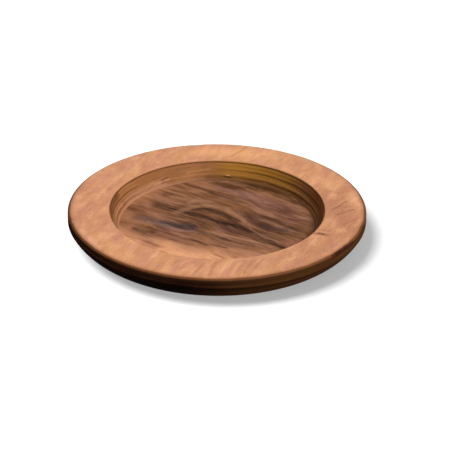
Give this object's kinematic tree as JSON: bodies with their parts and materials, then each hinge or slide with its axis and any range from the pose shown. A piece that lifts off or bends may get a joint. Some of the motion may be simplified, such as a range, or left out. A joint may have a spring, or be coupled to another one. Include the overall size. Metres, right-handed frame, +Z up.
{
  "type": "offering plate",
  "caption": "Round turned wooden offering plate with a broad flat rim, a shallow flat-floored well and an undercut rounded side, glued up from crosswise staves.",
  "frame": {"origin": "centre of the foot, on the surface that the plate stands on", "axes": "+Z up through the centre of the plate, square to the rim; +X to the right and +Y away from someone who looks at the plate from the front"},
  "size_m": [0.3046, 0.3046, 0.0318],
  "materials": {
    "rim_wood": "satin oiled, light orange-tan, worn",
    "base_wood": "satin oiled, darker brown, streaked"
  },
  "bodies": {
    "root": {"base_stave_1": "base_wood", "base_stave_2": "base_wood", "base_stave_3": "base_wood", "base_stave_4": "base_wood", "base_stave_5": "base_wood", "base_stave_6": "base_wood", "base_stave_7": "base_wood", "base_stave_8": "base_wood", "rim_stave_1": "rim_wood", "rim_stave_2": "rim_wood", "rim_stave_3_front": "rim_wood", "rim_stave_3_back": "rim_wood", "rim_stave_4_front": "rim_wood", "rim_stave_4_back": "rim_wood", "rim_stave_5_front": "rim_wood", "rim_stave_5_back": "rim_wood", "rim_stave_6_front": "rim_wood", "rim_stave_6_back": "rim_wood", "rim_stave_7": "rim_wood", "rim_stave_8": "rim_wood"}
  },
  "joints": []
}
